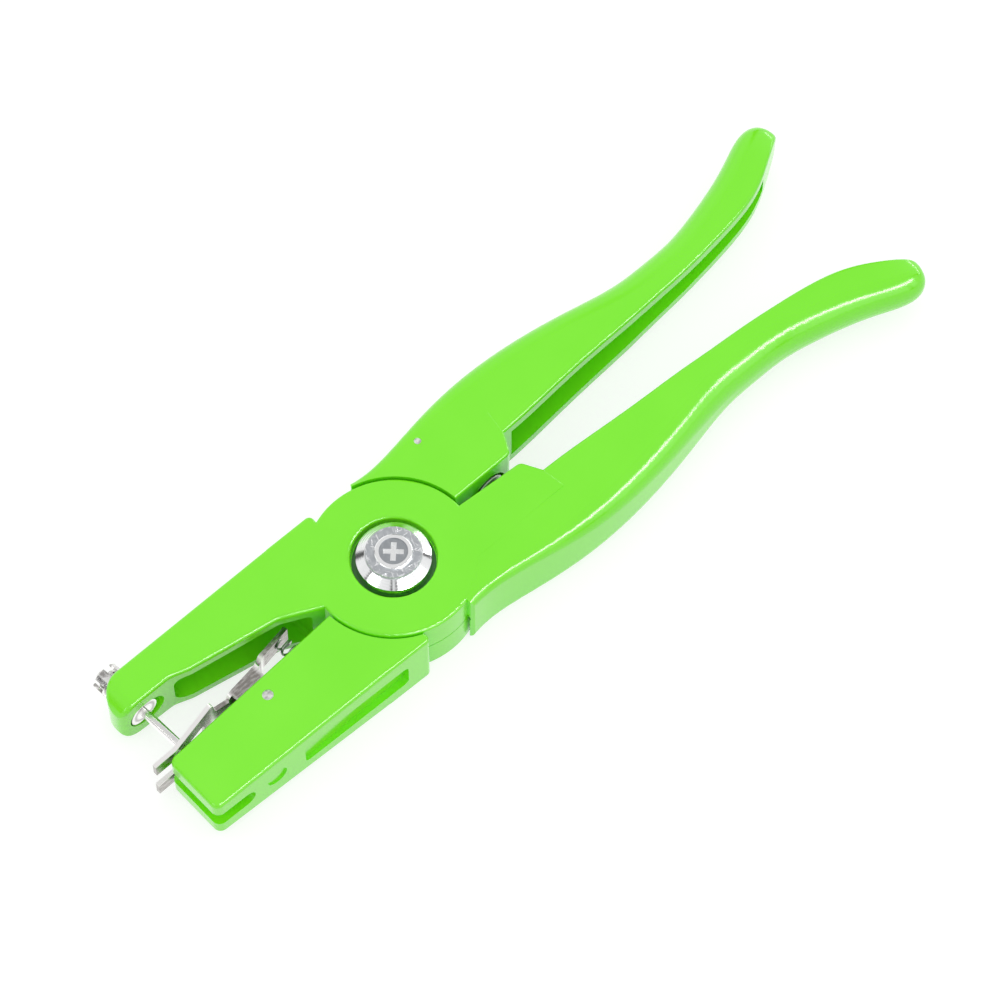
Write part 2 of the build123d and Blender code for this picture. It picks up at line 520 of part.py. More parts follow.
SCREW_SEAT = CAP_TOP + WASHER_THICK
with BuildPart() as pivot_screw:
    with Locations((0, 0, SCREW_SEAT)):
        Cylinder(SCREW_HEAD_R, SCREW_HEAD, align=BASE)
        Cylinder(SCREW_R, SCREW_LENGTH, align=HUNG)
    fillet(pivot_screw.edges().group_by(Axis.Z)[-1], SCREW_HEAD_EDGE)
    with Locations((0, 0, SCREW_SEAT + SCREW_HEAD)):
        Cylinder(SCREW_HEAD_R - SCREW_RIM, SCREW_DISH, align=HUNG, mode=Mode.SUBTRACT)
    with Locations(Location((0, 0, SCREW_SEAT + SCREW_HEAD), (0, 0, CROSS_TURN))):
        Box(CROSS_LONG, CROSS_WIDE, SCREW_DISH + CROSS_DEPTH, align=HUNG, mode=Mode.SUBTRACT)
        Box(CROSS_WIDE, CROSS_LONG, SCREW_DISH + CROSS_DEPTH, align=HUNG, mode=Mode.SUBTRACT)
pivot_screw.part.label = "pivot_screw"

with BuildPart() as stop_pin:
    with Locations((-STOP_PIN_X, -STOP_PIN_Y, THICK - STOP_PIN_SUNK)):
        Cylinder(STOP_PIN_R, STOP_PIN_LENGTH, align=HUNG)
stop_pin.part.label = "stop_pin"


def coil(start_seat, end_seat, outer_r, wire_r, turns):
    """Add a coil spring between two seats, with both ends ground flat along them."""
    way = end_seat.origin - start_seat.origin
    with BuildLine() as path:
        Helix(way.length / turns, way.length, outer_r - wire_r, center=start_seat.origin, direction=way)
    with BuildSketch(Plane(origin=path.line @ 0, z_dir=path.line % 0)) as wire:
        Circle(wire_r)
    sweep(wire.sketch, path=path.line, is_frenet=True)
    split(bisect_by=start_seat.offset(SEAT_GAP), keep=Keep.TOP)
    split(bisect_by=end_seat.offset(SEAT_GAP), keep=Keep.TOP)


with BuildPart() as return_spring:
    coil(clip_lever_spring_seat, pin_lever_spring_seat, SPRING_R, SPRING_WIRE_R, SPRING_TURNS)
return_spring.part.label = "return_spring"

# Needle with its flange and tail, and the nut that holds it
with BuildPart(needle_plane) as applicator_needle:
    Cylinder(FLANGE_R, FLANGE_THICK, align=BASE)
    Cylinder(NEEDLE_R, FLANGE_THICK + NEEDLE_LEN - NEEDLE_POINT, align=BASE)
    with Locations((0, 0, FLANGE_THICK + NEEDLE_LEN - NEEDLE_POINT)):
        Cone(NEEDLE_R, NEEDLE_TIP_R, NEEDLE_POINT, align=BASE)
    Cylinder(TAIL_R, boss_thick + NUT_BASE + TAIL_OUT, align=HUNG)
applicator_needle.part.label = "applicator_needle"

with BuildPart(nut_plane) as needle_nut:
    Cylinder(NUT_R, NUT_BASE + NUT_CROWN, align=BASE)
    nut_top = nut_seat - needle_dir * (NUT_BASE + NUT_CROWN)
    chamfer(needle_nut.edges().sort_by_distance(nut_top)[0], NUT_CHAMFER)
    with Locations((0, 0, NUT_BASE)):
        Cylinder(NUT_HOLLOW_R, NUT_CROWN, align=BASE, mode=Mode.SUBTRACT)
        with PolarLocations(0, NUT_SLOTS // 2, start_angle=NUT_TURN, angular_range=180):
            Box(3 * NUT_R, NUT_SLOT, NUT_CROWN, align=BASE, mode=Mode.SUBTRACT)
    Cylinder(TAIL_R + NUT_CLEAR, NUT_BASE, align=BASE, mode=Mode.SUBTRACT)
needle_nut.part.label = "needle_nut"

# Jaw clip: a bent band of sheet seen from above, cut to its outline seen from the side
def band(points, thick, bend):
    """Outline of a bent band of even thickness along points."""
    sides = [[], []]
    for i, (x, y) in enumerate(points):
        ways = []
        for (xa, ya), (xb, yb) in zip(points[max(i - 1, 0):i + 1], points[max(i, 1):i + 2]):
            ways.append(((xb - xa) / hypot(xb - xa, yb - ya), (yb - ya) / hypot(xb - xa, yb - ya)))
        nx = -sum(w[1] for w in ways) / len(ways)
        ny = sum(w[0] for w in ways) / len(ways)
        reach = thick / 2 / (nx * nx + ny * ny)
        rounding = bend if 0 < i < len(points) - 1 else 0
        sides[0].append((x + nx * reach, y + ny * reach, rounding))
        sides[1].append((x - nx * reach, y - ny * reach, rounding))
    return outline(sides[0] + sides[1][::-1])


with BuildPart() as jaw_clip:
    extrude(band(CLIP_LINE, CLIP_THICK, CLIP_BEND_R), amount=THICK)
    # the lower half of the side outline, from the tail to the arm's tip, and its mirror image
    tail, neck, web, arm = TAIL_HIGH / 2, NECK_HIGH / 2, WEB_HIGH / 2, ARM_OUT / 2
    half = [(CLIP_TAIL_X - CLIP_SPARE, tail, 0), (CLIP_WEB_X[0], tail, 0),
            (CLIP_WEB_X[0], web, CLIP_CORNER_R), (CLIP_WEB_X[1], web, CLIP_CORNER_R),
            (CLIP_WEB_X[1], neck, 0), (CLIP_BRIDGE_X[0], neck, CLIP_NECK_R),
            (CLIP_BRIDGE_X[0], arm, CLIP_CORNER_R), (CLIP_TIP_X + CLIP_SPARE, arm, 0),
            (CLIP_TIP_X + CLIP_SPARE, arm - ARM_HIGH, 0), (CLIP_BRIDGE_X[1], arm - ARM_HIGH, CLIP_CORNER_R)]
    extrude(outline([(x, MID - z, r) for x, z, r in half] + [(x, MID + z, r) for x, z, r in half[::-1]],
                    Plane.XZ.offset(-DISC_R)), amount=2 * DISC_R, mode=Mode.INTERSECT)
    for floor in (MID - WEB_HIGH / 2, MID + WEB_HIGH / 2 - CLIP_THICK):
        with BuildSketch(Plane.XY.offset(floor)):
            with BuildLine():
                Polyline(EAR_ROOT, close=True)
            make_face()
            with Locations((CLIP_PIN_X, CLIP_PIN_Y)):
                Circle(EAR_R)
                Circle(CLIP_PIN_R + CLIP_PIN_CLEAR, mode=Mode.SUBTRACT)
        extrude(amount=CLIP_THICK)
jaw_clip.part.label = "jaw_clip"

pin_drop = between(CLIP_PIN_X, DISC_R, 0, FORK_REACH, (THICK - FORK_TIP_THICK) / 2) + CLIP_PIN_SUNK
with BuildPart() as clip_pin:
    with Locations((CLIP_PIN_X, CLIP_PIN_Y, pin_drop)):
        Cylinder(CLIP_PIN_R, THICK - 2 * pin_drop, align=BASE)
clip_pin.part.label = "clip_pin"

with BuildPart() as clip_spring:
    coil(clip_tail_seat, clip_jaw_seat, CLIP_SPRING_R, CLIP_SPRING_WIRE_R, CLIP_SPRING_TURNS)
clip_spring.part.label = "clip_spring"

os.makedirs("parts", exist_ok=True)
for piece in (pin_lever, clip_lever, pivot_barrel, pivot_cap, pivot_washer, pivot_screw, return_spring,
              stop_pin, applicator_needle, needle_nut, jaw_clip, clip_pin, clip_spring):
    export_step(piece.part, f"parts/{piece.part.label}.step")
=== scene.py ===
# %% [markdown]
# # Ear tag applicator
#
# Crossing pliers of cast metal under a glossy lime coat. One lever ends in a needle, the other in a
# fork with a sprung steel clip. The castings, the pivot, the needle and the clip come in as solids
# at their real size, and keep their shape here. This lesson adds what the solids can't say: how each
# surface takes light, the two coil springs that stretch as the jaws move, and the thread on the
# needle's tail. Blender works in metres, so MM turns a size in millimetres into metres.

# %% Load the solids
from math import cos, pi, radians, sin

import bpy
from mathutils import Matrix, Vector


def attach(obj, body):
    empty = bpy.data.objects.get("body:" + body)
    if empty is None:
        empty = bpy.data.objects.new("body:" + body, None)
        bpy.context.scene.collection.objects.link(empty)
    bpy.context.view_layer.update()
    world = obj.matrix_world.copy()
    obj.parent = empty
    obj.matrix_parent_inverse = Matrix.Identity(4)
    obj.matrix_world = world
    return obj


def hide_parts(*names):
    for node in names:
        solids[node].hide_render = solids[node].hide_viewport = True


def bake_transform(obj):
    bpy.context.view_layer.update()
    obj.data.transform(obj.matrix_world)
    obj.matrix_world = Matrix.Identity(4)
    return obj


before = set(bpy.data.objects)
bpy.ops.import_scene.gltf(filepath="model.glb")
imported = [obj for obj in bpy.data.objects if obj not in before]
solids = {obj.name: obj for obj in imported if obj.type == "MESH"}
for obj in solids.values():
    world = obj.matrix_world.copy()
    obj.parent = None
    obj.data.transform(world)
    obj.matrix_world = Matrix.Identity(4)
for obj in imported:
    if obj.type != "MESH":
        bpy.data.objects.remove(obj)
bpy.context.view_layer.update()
MM = 0.001
print("solids:", ", ".join(sorted(solids)))

# %% [markdown]
# ## Sums on shader sockets
#
# A shader is a net of nodes, and most of them only add, multiply or compare. Drawn by hand that is a
# wide tangle. Here one small class wraps an output socket, so that `0.2 + 0.1 * grain` makes the
# Math nodes by itself. Every other node comes from the method `node`, which takes the node's type,
# its settings, and the values or wires for its sockets.

# %% The socket wrapper
class Wire:
    """An output socket of a shader that takes part in Python sums."""

    def __init__(self, socket):
        self.socket = socket

    def node(self, kind, settings, inputs, output=0):
        made = self.socket.id_data.nodes.new(kind)
        for name, value in settings.items():
            if name == "stops":
                for i, (place, grey) in enumerate(value):
                    ramp = made.color_ramp.elements
                    stop = ramp[i] if i < 2 else ramp.new(place)
                    stop.position = place
                    stop.color = (grey, grey, grey, 1)
            else:
                setattr(made, name, value)
        for key, value in inputs.items():
            if isinstance(value, Wire):
                self.socket.id_data.links.new(value.socket, made.inputs[key])
            else:
                made.inputs[key].default_value = value
        return Wire(made.outputs[output])

    def maths(self, operation, a, b):
        return self.node("ShaderNodeMath", {"operation": operation}, {0: a, 1: b})

    def __add__(self, other):
        return self.maths("ADD", self, other)

    def __sub__(self, other):
        return self.maths("SUBTRACT", self, other)

    def __rsub__(self, other):
        return self.maths("SUBTRACT", other, self)

    def __mul__(self, other):
        return self.maths("MULTIPLY", self, other)

    def __gt__(self, other):
        return self.maths("GREATER_THAN", self, other)

    __radd__ = __add__
    __rmul__ = __mul__

    def clamp(self):
        return self.node("ShaderNodeClamp", {}, {0: self})

    def grain(self, scale, detail=2.0):
        """Noise over this place, in spots of about 1 / scale metres. Its middle is near 0.5."""
        return self.node("ShaderNodeTexNoise", {}, {"Vector": self, "Scale": scale, "Detail": detail})

    def stretched(self, scale, turn=(0, 0, 0)):
        """This place with each axis scaled, after a turn: noise over it becomes streaks."""
        turned = self.node("ShaderNodeMapping", {}, {"Vector": self, "Rotation": turn})
        return turned.node("ShaderNodeMapping", {}, {"Vector": turned, "Scale": scale})

    def axis(self, index):
        """X, Y or Z of this place, as index 0, 1 or 2."""
        return self.node("ShaderNodeSeparateXYZ", {}, {0: self}, index)

    def ramp(self, *stops):
        """This amount through stops, each a place from 0 to 1 and its grey."""
        return self.node("ShaderNodeValToRGB", {"stops": stops}, {0: self})

    def colours(self, low, high):
        """A colour between two, by this amount."""
        return self.node("ShaderNodeMix", {"data_type": "RGBA"}, {0: self, 6: low, 7: high}, 2)

    def bump(self, distance, strength):
        """This amount as a height for the shader's Normal."""
        return self.node("ShaderNodeBump", {}, {
            "Height": self, "Distance": distance, "Strength": strength})


def srgb(red, green, blue):
    """A colour from 0 to 255, as a screen shows it, made linear for the shader."""
    line = [(v / 255 / 12.92) if v / 255 < 0.04045 else ((v / 255 + 0.055) / 1.055) ** 2.4
            for v in (red, green, blue)]
    return (*line, 1.0)


# %% A new finish, and how it goes on
METAL = {"Metallic": 1.0}


def new_finish(name, sockets):
    """A material with plain values on its shader, and the wire of each point's place on the piece."""
    material = bpy.data.materials.new(name)
    material.use_nodes = True
    shader = material.node_tree.nodes["Principled BSDF"]
    for key, value in sockets.items():
        shader.inputs[key].default_value = value
    coordinates = material.node_tree.nodes.new("ShaderNodeTexCoord")
    return material, Wire(coordinates.outputs["Object"])


def drive(material, wires):
    """Link wires to the shader's sockets."""
    tree = material.node_tree
    for key, wire in wires.items():
        tree.links.new(wire.socket, tree.nodes["Principled BSDF"].inputs[key])


def coat(material, *names):
    """Put a finish on solids, through their own material slots."""
    for name in names:
        for slot in solids[name].material_slots:
            slot.material = material
    print(material.name, "on", ", ".join(names))


# %% [markdown]
# ## Lime paint
#
# Both levers are castings with a baked glossy coat. Up close such a coat is not quite flat: it has
# a faint orange peel, and its colour is a touch deeper where it lies thicker. It is smooth enough
# for white lines along the rounded edges, and side walls that are seen at a low angle mirror the
# white floor. The peel is noise through a Bump node, because no mesh needs to carry waves a
# hundredth of a millimetre high. Light hardly gets into the narrow pit round the pivot's cap, so a
# shade is painted there: the coat is made a darker green in the pit, which stands in for its shadow.
# The pit is round and upright, so comparing each point's distance from the pivot and its height with
# three sizes finds it, with no painting by hand.

# %% Lime paint on the two castings
PIVOT, ABOUT_Z = (0, 0, 0), (1, 1, 0)
PIT_R, PIT_FLOOR, FACE = 10.7 * MM, 15.0 * MM, 19.6 * MM
LIME_DEEP, LIME_PALE, PIT_SHADE_GREEN = srgb(121, 239, 20), srgb(132, 246, 36), srgb(40, 120, 18)


def distance_from(wire, centre, flat):
    """Distance of each point from an axis through a centre; flat has 0 along that axis."""
    moved = wire.node("ShaderNodeMapping", {}, {"Vector": wire, "Location": tuple(-v for v in centre)})
    level = moved.node("ShaderNodeVectorMath", {"operation": "MULTIPLY"}, {0: moved, 1: flat})
    return level.node("ShaderNodeVectorMath", {"operation": "LENGTH"}, {0: level}, "Value")


lime, place = new_finish("lime_paint", {"IOR": 1.6})
thin = place.grain(45.0, 3.0)
peel = place.grain(420.0, 1.5)
specks = place.grain(2600.0, 1.0)
height = place.axis(2)
# Painted shade: the pit's darker green stands in for the shadow there and is not a colour of the coat.
inside = PIT_R - distance_from(place, PIVOT, ABOUT_Z) > 0.0
pit_shade = inside * (height - PIT_FLOOR > 0.0) * (FACE - height > 0.0)
drive(lime, {
    "Base Color": pit_shade.colours(thin.colours(LIME_DEEP, LIME_PALE), PIT_SHADE_GREEN),
    "Roughness": 0.12 + 0.08 * thin + 0.04 * specks,
    "Normal": (peel + 0.1 * specks).bump(0.05 * MM, 0.15)})
coat(lime, "pin_lever", "clip_lever")

# %% [markdown]
# ## The bright turned cap
#
# The bevelled ring round the pivot is turned and plated. It shows the room, so a fine turned grain
# matters more than its colour: rings round the pivot break a reflection into the fan of streaks that
# the eye reads as turned metal. The rings are a sine wave of the distance from the pivot's axis, and
# that distance is a Vector Math length of the flattened place. Modelled grooves would need thousands
# of faces, and a bump looks the same.

# %% Bright plate with turned rings
CAP_GROOVES = 0.6 * MM


def rings(distance, pitch):
    """Fine turned grooves, a groove each pitch of the distance."""
    return distance.node("ShaderNodeMath", {"operation": "SINE"}, {0: distance * (2 * pi / pitch)})


bright, place = new_finish("bright_plate", METAL)
grooves = rings(distance_from(place, PIVOT, ABOUT_Z), CAP_GROOVES)
smudge = place.grain(380.0, 3.0)
drive(bright, {
    "Base Color": smudge.colours(srgb(222, 223, 224), srgb(242, 243, 243)),
    "Roughness": 0.05 + 0.14 * smudge,
    "Normal": (0.5 * grooves + place.grain(900.0)).bump(0.03 * MM, 0.35)})
coat(bright, "pivot_cap")

# %% [markdown]
# ## Screw head
#
# The screw's raised rim and the inside of its cross are bright plate, while the shallow dish between
# them is a duller, darker grey. The dish is what lies inside the rim and above the cross, so two
# comparisons of place give its mask, and mottled noise keeps it from looking like one flat grey.

# %% Bright raised rim, duller dish, and a cross that is bright inside
SCREW_TOP, CROSS_BELOW, RIM_INSIDE = 23.3 * MM, 0.3 * MM, 3.7 * MM
head, place = new_finish("screw_head", METAL)
mottle = place.grain(1100.0, 3.0)
dish = RIM_INSIDE - distance_from(place, PIVOT, ABOUT_Z) > 0.0
cross = (SCREW_TOP - CROSS_BELOW) - place.axis(2) > 0.0
dull = dish * (1.0 - cross)
patchy = (dull * (0.75 + 0.5 * mottle)).clamp()
drive(head, {
    "Base Color": patchy.colours(srgb(252, 253, 253), srgb(160, 164, 168)),
    "Roughness": 0.10 + 0.16 * mottle + 0.25 * dull,
    "Normal": mottle.bump(0.05 * MM, 0.5)})
coat(head, "pivot_screw")

# %% [markdown]
# ## Crown nut
#
# The nut on the end of the needle is plated too, but it lives on the outside of the jaw and is
# handled, so its plate is hazy: bright in places and grey in others. Noise through a steep ramp has
# such patches, where plain noise would only be cloudy.

# %% Hazy plate
nut_plate, place = new_finish("nut_plate", METAL)
haze = place.grain(500.0, 3.0)
patches = haze.ramp((0.42, 0.0), (0.55, 1.0))
drive(nut_plate, {
    "Base Color": patches.colours(srgb(168, 166, 163), srgb(242, 241, 239)),
    "Roughness": 0.05 + 0.12 * haze,
    "Normal": haze.bump(0.08 * MM, 0.6)})
coat(nut_plate, "needle_nut")

# %% [markdown]
# ## The scratched washer
#
# The washer under the screw is soft zinc plate: grey, a little cloudy, and covered in short hair
# scratches that cross each other. A scratch is noise stretched about nine times one way, kept only
# where it is highest. Three sets at different angles look like handling marks, where one set alone
# would look like brushed metal. Each set has its angle in degrees and the noise it is kept above.

# %% Zinc with crossing scratches
HAIR_SCALE, HAIR_EDGE = (2600, 300, 2600), 0.06
HAIR_SETS = ((25, 0.60), (100, 0.62), (155, 0.62))


def scratches(wire, turn, keep):
    """Hair scratches along one direction, 1 on a scratch and 0 off it."""
    streak = wire.stretched(HAIR_SCALE, (0, 0, radians(turn))).grain(1.0)
    return streak.ramp((keep, 0.0), (keep + HAIR_EDGE, 1.0))


zinc, place = new_finish("zinc_plate", METAL)
cloud = place.grain(700.0, 4.0)
marks = sum(scratches(place, turn, keep) for turn, keep in HAIR_SETS).clamp()
drive(zinc, {
    "Base Color": (0.45 * cloud + 0.8 * marks).clamp().colours(srgb(160, 165, 170), srgb(252, 253, 254)),
    "Roughness": 0.34 + 0.18 * cloud - 0.2 * marks,
    "Normal": (cloud - 0.8 * marks).bump(0.06 * MM, 0.6)})
coat(zinc, "pivot_washer")

# %% [markdown]
# ## Needle
#
# The needle is ground along its length and then polished, and its flange keeps the wide rings of the
# tool that faced it. Those rings are the same wave as the cap's, but of the distance from a line
# along Y through the flange, which the needle nearly follows. A second mask makes the shaft bright
# all over.

# %% Polished needle
FLANGE_MIDDLE, ABOUT_Y = (71.1 * MM, 0, 10 * MM), (1, 0, 1)
TOOL_MARKS, SHAFT_ROOM = 1.7 * MM, 1.8 * MM
polished, place = new_finish("polished_needle", METAL)
grind = place.stretched((300, 3000, 300)).grain(1.0)
off_line = distance_from(place, FLANGE_MIDDLE, ABOUT_Y)
mark = 0.5 + 0.5 * rings(off_line, TOOL_MARKS) + (SHAFT_ROOM - off_line > 0.0)
drive(polished, {
    "Base Color": (0.25 * grind + 0.8 * mark).clamp().colours(srgb(158, 156, 153), srgb(242, 241, 239)),
    "Roughness": 0.18 + 0.06 * grind})
coat(polished, "applicator_needle")

# %% [markdown]
# ## Pins and the pivot's foot
#
# The two small pins are cut from rod, and the ends that show keep the mottled grey of the cut: noise
# through a ramp again. The pivot's flush head in the underside is turned like the cap, so it gets
# rings too, wider ones on a duller steel.

# %% Sawn pins and the pivot's turned head
sawn_steel, place = new_finish("sawn_steel", METAL)
cloud = place.grain(900.0, 3.0)
drive(sawn_steel, {
    "Base Color": cloud.ramp((0.35, 0.0), (0.65, 1.0)).colours(srgb(176, 175, 172), srgb(246, 246, 244)),
    "Roughness": 0.28 + 0.2 * cloud,
    "Normal": cloud.bump(0.06 * MM, 0.6)})
coat(sawn_steel, "stop_pin", "clip_pin")

FOOT_GROOVES = 0.8 * MM
turned_steel, place = new_finish("turned_steel", METAL)
cloud = place.grain(260.0, 3.0)
grooves = rings(distance_from(place, PIVOT, ABOUT_Z), FOOT_GROOVES)
drive(turned_steel, {
    "Base Color": (cloud + 0.15 * grooves).clamp().colours(srgb(176, 176, 174), srgb(228, 228, 226)),
    "Roughness": 0.22 + 0.16 * cloud,
    "Normal": (0.5 * grooves + 0.3 * cloud).bump(0.03 * MM, 0.5)})
coat(turned_steel, "pivot_barrel")

# %% [markdown]
# ## Pressed clip
#
# The clip is spring steel sheet, dull from hardening. Its bends and the top edges of its arms are
# painted lighter, as painted highlights where those rounded places would catch the light. The clip
# lies along X, so a bend is a place on X and a top edge is a place on Z, and each painted highlight
# is a peak at that place. Noise stretched along X adds the faint streaks that rolling leaves in sheet.

# %% Pressed clip, with painted highlights on its bends and edges
CLIP_BENDS = (41.2, 44.0, 54.4, 59.9, 74.4)
ARM_TOPS = (6.65, 17.95)
BEND_HIGHLIGHT_REACH, EDGE_HIGHLIGHT_REACH = 1.4 * MM, 0.25 * MM


def band(wire, middle, reach):
    """1 at a place on an axis, falling to 0 at its reach on each side."""
    apart = wire.node("ShaderNodeMath", {"operation": "ABSOLUTE"}, {0: wire - middle})
    return (1.0 - apart * (1 / reach)).clamp()


pressed, place = new_finish("pressed_steel", METAL)
# Painted highlights: the bends and arm tops get a lighter colour that stands in for light they catch.
bend_highlights = sum(band(place.axis(0), bend * MM, BEND_HIGHLIGHT_REACH) for bend in CLIP_BENDS)
edge_highlights = sum(band(place.axis(2), top * MM, EDGE_HIGHLIGHT_REACH) for top in ARM_TOPS)
roll = place.stretched((500, 1800, 1800)).grain(1.0, 3.0)
streaks_and_painted_highlights = (bend_highlights + 1.5 * edge_highlights + roll.ramp((0.42, 0.0), (0.66, 0.3))).clamp()
drive(pressed, {
    "Base Color": streaks_and_painted_highlights.colours(srgb(146, 142, 137), srgb(252, 250, 248)),
    "Roughness": 0.20 + 0.10 * streaks_and_painted_highlights + 0.10 * roll,
    "Normal": roll.bump(0.04 * MM, 0.5)})
coat(pressed, "jaw_clip")

# %% [markdown]
# ## Spring wire
#
# Both springs are drawn wire: grey, with the fine mottle of the die it was pulled through. The
# finish goes on the two spring solids, and on the coils that take their place below.

# %% Drawn wire
wire_steel, place = new_finish("spring_wire", METAL)
draw = place.grain(1400.0, 3.0)
drive(wire_steel, {
    "Base Color": draw.colours(srgb(150, 150, 151), srgb(215, 215, 215)),
    "Roughness": 0.22 + 0.25 * draw,
    "Normal": draw.bump(0.02 * MM, 0.4)})
coat(wire_steel, "return_spring", "clip_spring")

# %% [markdown]
# ## Coil springs that stretch
#
# A spring changes length when the jaws move, and a solid can't. So each one is wound again here, from
# its seat on one part to its seat on the other. By hand you would draw the wire's round section beside
# the axis and add a Screw modifier, which turns and lifts it. The ends are then cut flat along
# their seats with Bisect, as a spring maker grinds them.

# %% Winding a spring
WIRE_SIDES, STEPS_A_TURN = 14, 40
SEAT_GAP = 0.05 * MM


def clear_selection():
    bpy.ops.object.select_all(action="DESELECT")


def wind(name, start, end, start_face, end_face, outer, wire, turns):
    """A coil spring from one seat to another. A face is the seat's direction, into the spring."""
    start, end = Vector(start) * MM, Vector(end) * MM
    way = end - start
    clear_selection()
    bpy.ops.mesh.primitive_circle_add(
        vertices=WIRE_SIDES, radius=wire * MM, location=((outer - wire) * MM, 0, 0), rotation=(pi / 2, 0, 0))
    spring = bpy.context.object
    spring.name = name
    bpy.ops.object.transform_apply(location=True, rotation=True, scale=True)
    screw = spring.modifiers.new("wind", "SCREW")
    screw.screw_offset = way.length / turns
    screw.iterations = turns
    screw.steps = screw.render_steps = STEPS_A_TURN
    screw.use_merge_vertices = True
    bpy.ops.object.modifier_apply(modifier=screw.name)
    turn = way.to_track_quat("Z", "X").to_matrix().to_4x4()
    spring.matrix_world = Matrix.Translation(start) @ turn
    bpy.ops.object.transform_apply(location=True, rotation=True, scale=True)
    bpy.ops.object.mode_set(mode="EDIT")
    for seat, face in ((start, Vector(start_face)), (end, Vector(end_face))):
        cut = seat + face.normalized() * SEAT_GAP
        bpy.ops.mesh.select_all(action="SELECT")
        bpy.ops.mesh.bisect(plane_co=cut, plane_no=face, clear_inner=True, use_fill=True)
    bpy.ops.mesh.select_all(action="SELECT")
    bpy.ops.mesh.normals_make_consistent(inside=False)
    bpy.ops.object.mode_set(mode="OBJECT")
    bpy.ops.object.shade_smooth_by_angle(angle=radians(40))
    spring.data.materials.append(wire_steel)
    print(name, len(spring.data.vertices), "vertices")
    return spring


# %% The return spring, between a boss on each lever
CLIP_LEVER_SEAT, PIN_LEVER_SEAT = (-34.2, -9.7, 10), (-33.577, 9.263, 10)
lean = radians(4.5)
coil = wind("return_coil", CLIP_LEVER_SEAT, PIN_LEVER_SEAT, (0, 1, 0), (-sin(lean), -cos(lean), 0),
            outer=4.65, wire=0.6, turns=7)
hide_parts("return_spring")
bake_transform(coil)

# %% The clip's spring, from the clip's tail to its seat in the fork
CLIP_TAIL, FORK_SEAT = (33.6, -5.359, 10), (33.6, 7.0, 10)
slope = radians(9.46)
small_coil = wind("clip_coil", CLIP_TAIL, FORK_SEAT, (-sin(slope), cos(slope), 0), (0, -1, 0),
                  outer=2.2, wire=0.35, turns=6)
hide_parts("clip_spring")
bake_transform(small_coil)

# %% [markdown]
# ## Thread on the needle's tail
#
# The tail stands up inside the crown nut, and its thread is the finest thing on the tool. A thread is
# a ridge that climbs round the shaft, so it is wound like the springs, from a three-sided section
# whose foot is sunk in the tail. The foot is as wide as the thread's pitch, so each turn meets the
# next. The tail leans three degrees with the needle, and the ridge starts at the nut's floor.

# %% A helical ridge on the tail
TAIL_R, CREST_R, PITCH, RIDGES = 2.44, 2.74, 0.6, 3
NUT_SEAT, NUT_FLOOR, NEEDLE_LEAN = (71.80, -23.72, 10), 1.45, radians(3)
tail_out = Vector((sin(NEEDLE_LEAN), -cos(NEEDLE_LEAN), 0))
crown_floor = Vector(NUT_SEAT) + tail_out * NUT_FLOOR
section = ((TAIL_R, 0.0), (CREST_R, PITCH / 2), (TAIL_R, PITCH))
clear_selection()
bpy.ops.mesh.primitive_circle_add(
    vertices=3, radius=PITCH / 2 * MM, location=(TAIL_R * MM, 0, 0), rotation=(pi / 2, 0, 0))
thread = bpy.context.object
thread.name = "tail_thread"
bpy.ops.object.transform_apply(location=True, rotation=True, scale=True)
for corner, (out, up) in zip(thread.data.vertices, section):
    corner.co = (out * MM, 0, up * MM)
climb = thread.modifiers.new("climb", "SCREW")
climb.screw_offset = PITCH * MM
climb.iterations = RIDGES
climb.steps = climb.render_steps = STEPS_A_TURN
bpy.ops.object.modifier_apply(modifier=climb.name)

# %% The ridge closed at its ends and set on the tail
bpy.ops.object.mode_set(mode="EDIT")
bpy.ops.mesh.select_all(action="SELECT")
bpy.ops.mesh.fill_holes(sides=3)
bpy.ops.mesh.normals_make_consistent(inside=False)
bpy.ops.object.mode_set(mode="OBJECT")
turn = tail_out.to_track_quat("Z", "X").to_matrix().to_4x4()
thread.matrix_world = Matrix.Translation(crown_floor * MM) @ turn
bpy.ops.object.transform_apply(location=True, rotation=True, scale=True)
bpy.ops.object.shade_smooth_by_angle(angle=radians(30))
thread.data.materials.append(polished)
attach(thread, "needle_side")
print("thread", len(thread.data.vertices), "vertices")

# %% [markdown]
# ## Floor
#
# The photograph is a product shot on seamless white, with almost no shadow. The floor is plain white
# paper. For camera rays it is mixed with a white glow, so it reads white and keeps a pale shadow,
# and gloss shows most of that glow, so that metal and side walls mirror a white floor. The glow is
# in the paper's material, because more lamps would bleach the tool as well.

# %% White paper floor
FLOOR_SIZE, FLOOR_LEVEL = 8, -0.2 * MM
PAPER_WHITE, GLOW_STRENGTH, SEEN_GLOW, MIRRORED_GLOW = 0.85, 1.25, 0.6, 0.9


def ray_kinds(tree):
    """Camera, glossy and transmission rays: each is 1 on such a ray and 0 on the rest."""
    rays = tree.nodes.new("ShaderNodeLightPath").outputs
    return Wire(rays["Is Camera Ray"]), Wire(rays["Is Glossy Ray"]), Wire(rays["Is Transmission Ray"])


clear_selection()
bpy.ops.mesh.primitive_plane_add(size=FLOOR_SIZE, location=(0, 0, FLOOR_LEVEL))
floor = bpy.context.object
floor.name = "floor"
paper = bpy.data.materials.new("white_paper")
paper.use_nodes = True
paper.node_tree.nodes.clear()
eye, gloss, through = ray_kinds(paper.node_tree)
share = SEEN_GLOW * (eye + through) + MIRRORED_GLOW * gloss
glow = eye.node("ShaderNodeEmission", {}, {"Color": (1, 1, 1, 1), "Strength": GLOW_STRENGTH})
matt = eye.node("ShaderNodeBsdfDiffuse", {}, {"Color": (PAPER_WHITE, PAPER_WHITE, PAPER_WHITE, 1)})
white = eye.node("ShaderNodeMixShader", {}, {0: share, 1: matt, 2: glow})
end = paper.node_tree.nodes.new("ShaderNodeOutputMaterial")
paper.node_tree.links.new(white.socket, end.inputs["Surface"])
floor.data.materials.append(paper)
print("floor", FLOOR_SIZE, "metres square")

